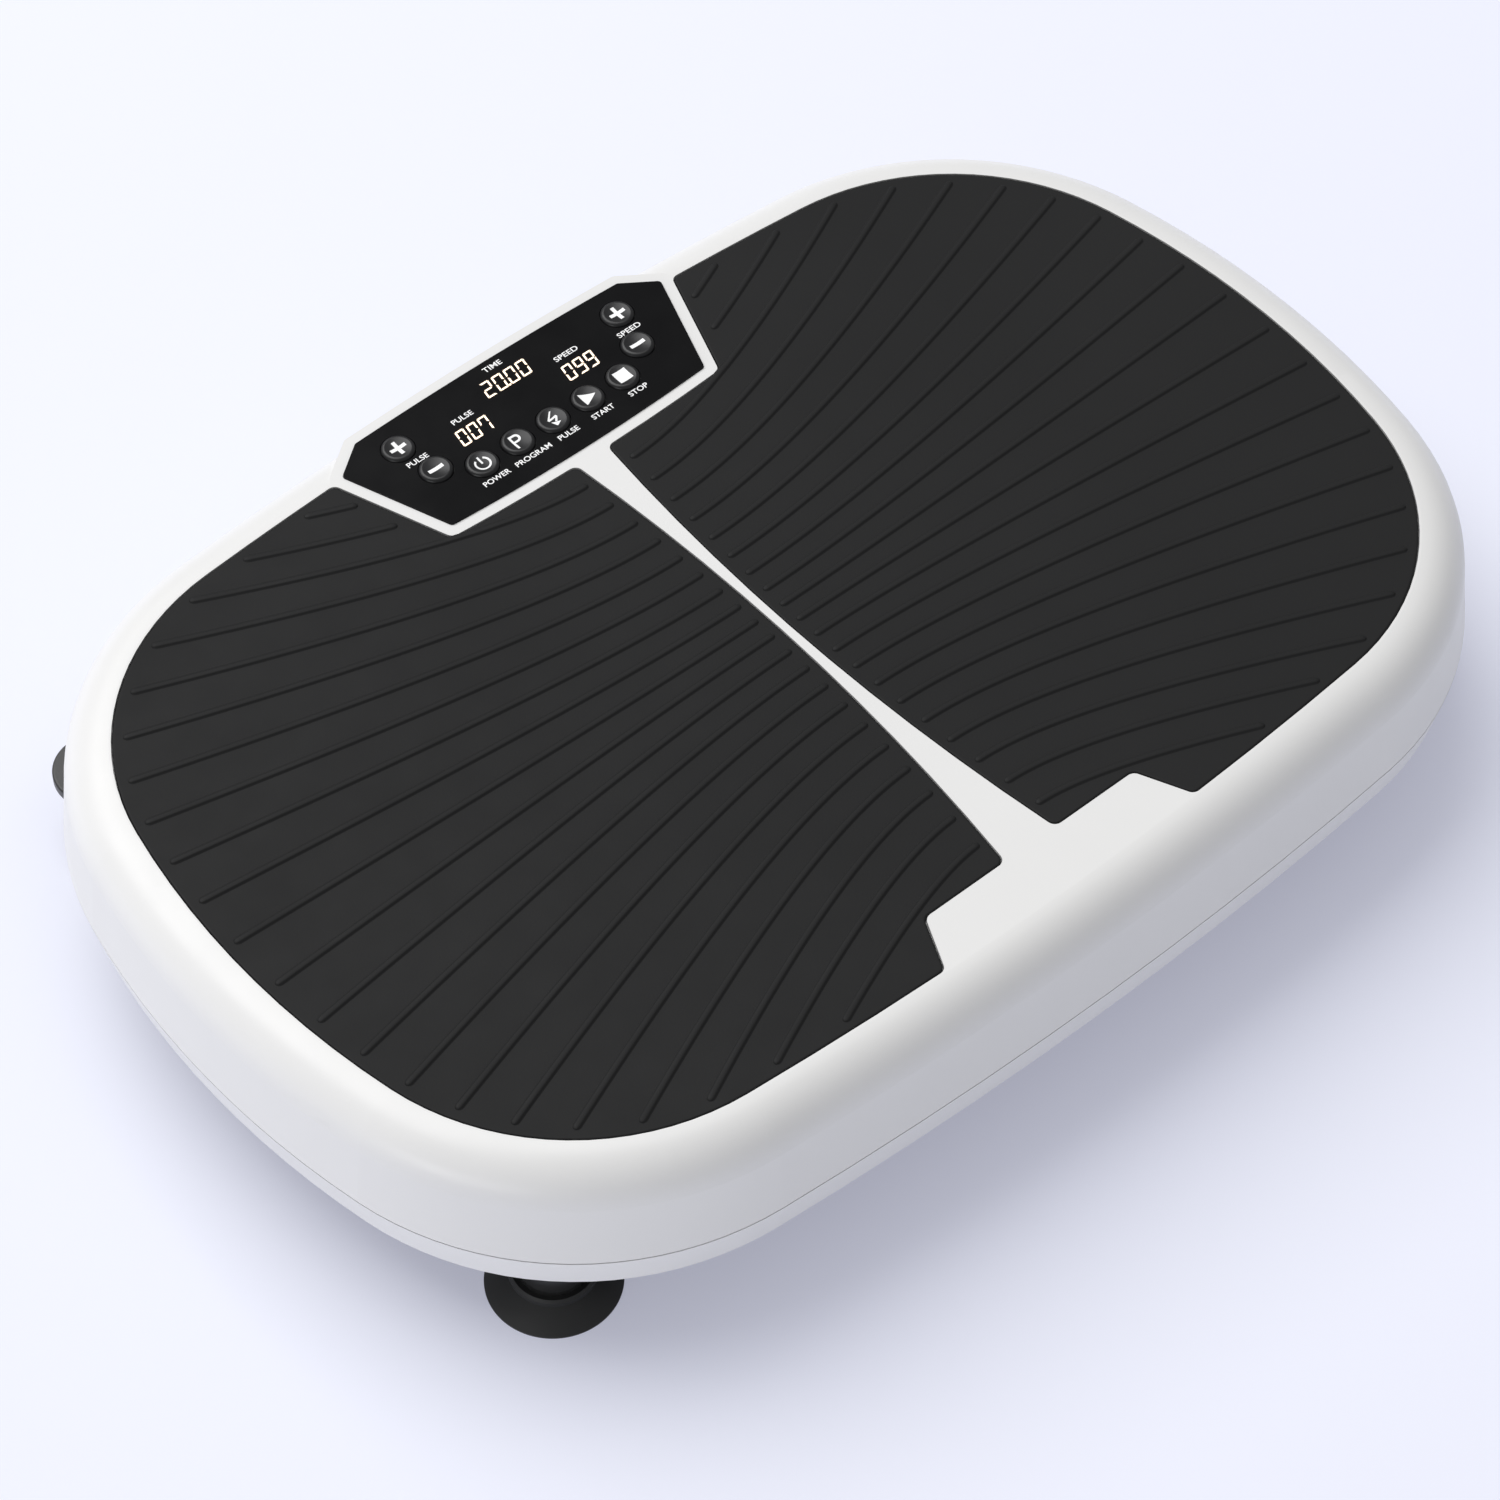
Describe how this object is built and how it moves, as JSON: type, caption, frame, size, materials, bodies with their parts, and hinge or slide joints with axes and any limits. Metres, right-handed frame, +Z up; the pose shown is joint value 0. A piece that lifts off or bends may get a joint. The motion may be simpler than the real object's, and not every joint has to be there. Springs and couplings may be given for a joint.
{
  "type": "vibration plate",
  "caption": "Slim rocking vibration plate: white deck with ribbed foot mats and a black control panel, over a black base on suction feet.",
  "frame": {"origin": "on the floor, under the middle of the overall box", "axes": "+X along the long side, +Y towards the control panel, +Z up"},
  "size_m": [0.534, 0.3642, 0.1],
  "materials": {
    "white_plastic": "satin gloss moulded",
    "mat_rubber": "fine matt texture",
    "panel_gloss": "gloss",
    "button_rubber": "satin",
    "display_lens": "tinted",
    "circuit_board": "solder mask",
    "component": "moulded",
    "zinc_steel": "zinc plated",
    "black_paint": "powder coat",
    "bronze": "sintered",
    "black_plastic": "fine texture",
    "foot_rubber": "smooth matt",
    "foot_plastic": "gloss",
    "motor_case": "painted",
    "cast_alloy": "as cast",
    "belt_rubber": "matt"
  },
  "bodies": {
    "base": {"base_tray": "black_plastic", "base_plate": "black_paint", "front_left_suction_cup": "foot_rubber", "front_right_suction_cup": "foot_rubber", "back_left_suction_cup": "foot_rubber", "back_right_suction_cup": "foot_rubber", "foot_spacers": "foot_plastic", "foot_bolts": "zinc_steel", "front_pivot_bracket": "black_paint", "back_pivot_bracket": "black_paint", "pivot_pins": "zinc_steel", "motor_housing": "motor_case", "motor_end_cap": "motor_case", "motor_saddles": "black_paint", "bearing_blocks": "cast_alloy", "crank_bearings": "zinc_steel", "drive_belt": "belt_rubber", "driver_board": "circuit_board", "board_components": "component", "board_standoffs": "black_plastic", "travel_buffers": "foot_rubber", "band_anchors": "black_plastic", "base_screws": "zinc_steel"},
    "deck": {"back_deck_rail": "black_paint", "back_pivot_hanger": "black_paint", "control_panel": "panel_gloss", "display_module": "display_lens", "front_deck_rail": "black_paint", "front_pivot_hanger": "black_paint", "inner_cross_member": "black_paint", "left_cross_member": "black_paint", "left_mat": "mat_rubber", "lower_trim": "white_plastic", "outer_cross_member": "black_paint", "panel_board": "circuit_board", "panel_screws": "zinc_steel", "pivot_bushes": "bronze", "power_inlet": "black_plastic", "right_mat": "mat_rubber", "rod_bracket": "black_paint", "rod_pin": "zinc_steel", "switch_housing": "black_plastic", "tact_switches": "component", "top_cover": "white_plastic", "trim_screws": "zinc_steel"},
    "crank": {"crank_shaft": "zinc_steel", "crank_pulley": "cast_alloy"},
    "rotor": {"motor_rotor": "zinc_steel", "motor_pulley": "cast_alloy"},
    "rod": {"connecting_rod": "cast_alloy"},
    "switch": {"switch_rocker": "black_plastic"},
    "power_key": {"power_button": "button_rubber"},
    "program_key": {"program_button": "button_rubber"},
    "pulse_key": {"pulse_button": "button_rubber"},
    "pulse_minus_key": {"pulse_minus_button": "button_rubber"},
    "pulse_plus_key": {"pulse_plus_button": "button_rubber"},
    "speed_minus_key": {"speed_minus_button": "button_rubber"},
    "speed_plus_key": {"speed_plus_button": "button_rubber"},
    "start_key": {"start_button": "button_rubber"},
    "stop_key": {"stop_button": "button_rubber"}
  },
  "joints": [
    {"name": "deck_rock", "type": "hinge", "parent": "base", "child": "deck", "pos_m": [0, 0, 0.062], "axis": [0, 1, 0], "range_deg": [-1.2, 1.2]},
    {"name": "crank_spin", "type": "hinge", "parent": "base", "child": "crank", "pos_m": [0.12, 0, 0.054], "axis": [0, 1, 0], "continuous": true},
    {"name": "motor_spin", "type": "hinge", "parent": "base", "child": "rotor", "pos_m": [-0.062, 0, 0.063], "axis": [0, 1, 0], "continuous": true},
    {"name": "rod_swing", "type": "hinge", "parent": "crank", "child": "rod", "pos_m": [0.1225, 0, 0.054], "axis": [0, 1, 0], "continuous": true},
    {"name": "switch_tilt", "type": "hinge", "parent": "deck", "child": "switch", "pos_m": [0.113, 0.1685, 0.065], "axis": [1, 0, 0], "range_deg": [0, 18]},
    {"name": "power_press", "type": "slide", "parent": "deck", "child": "power_key", "axis": [0, 0, -1], "range_m": [0, 0.0008], "stiffness_N_per_m": 400, "springref_m": -0.0008},
    {"name": "program_press", "type": "slide", "parent": "deck", "child": "program_key", "axis": [0, 0, -1], "range_m": [0, 0.0008], "stiffness_N_per_m": 400, "springref_m": -0.0008},
    {"name": "pulse_press", "type": "slide", "parent": "deck", "child": "pulse_key", "axis": [0, 0, -1], "range_m": [0, 0.0008], "stiffness_N_per_m": 400, "springref_m": -0.0008},
    {"name": "pulse_minus_press", "type": "slide", "parent": "deck", "child": "pulse_minus_key", "axis": [0, 0, -1], "range_m": [0, 0.0008], "stiffness_N_per_m": 400, "springref_m": -0.0008},
    {"name": "pulse_plus_press", "type": "slide", "parent": "deck", "child": "pulse_plus_key", "axis": [0, 0, -1], "range_m": [0, 0.0008], "stiffness_N_per_m": 400, "springref_m": -0.0008},
    {"name": "speed_minus_press", "type": "slide", "parent": "deck", "child": "speed_minus_key", "axis": [0, 0, -1], "range_m": [0, 0.0008], "stiffness_N_per_m": 400, "springref_m": -0.0008},
    {"name": "speed_plus_press", "type": "slide", "parent": "deck", "child": "speed_plus_key", "axis": [0, 0, -1], "range_m": [0, 0.0008], "stiffness_N_per_m": 400, "springref_m": -0.0008},
    {"name": "start_press", "type": "slide", "parent": "deck", "child": "start_key", "axis": [0, 0, -1], "range_m": [0, 0.0008], "stiffness_N_per_m": 400, "springref_m": -0.0008},
    {"name": "stop_press", "type": "slide", "parent": "deck", "child": "stop_key", "axis": [0, 0, -1], "range_m": [0, 0.0008], "stiffness_N_per_m": 400, "springref_m": -0.0008}
  ],
  "couplings": [
    {"joint": "motor_spin", "follows": "crank_spin", "ratio": 2},
    {"joint": "rod_swing", "follows": "crank_spin", "ratio": -1}
  ]
}
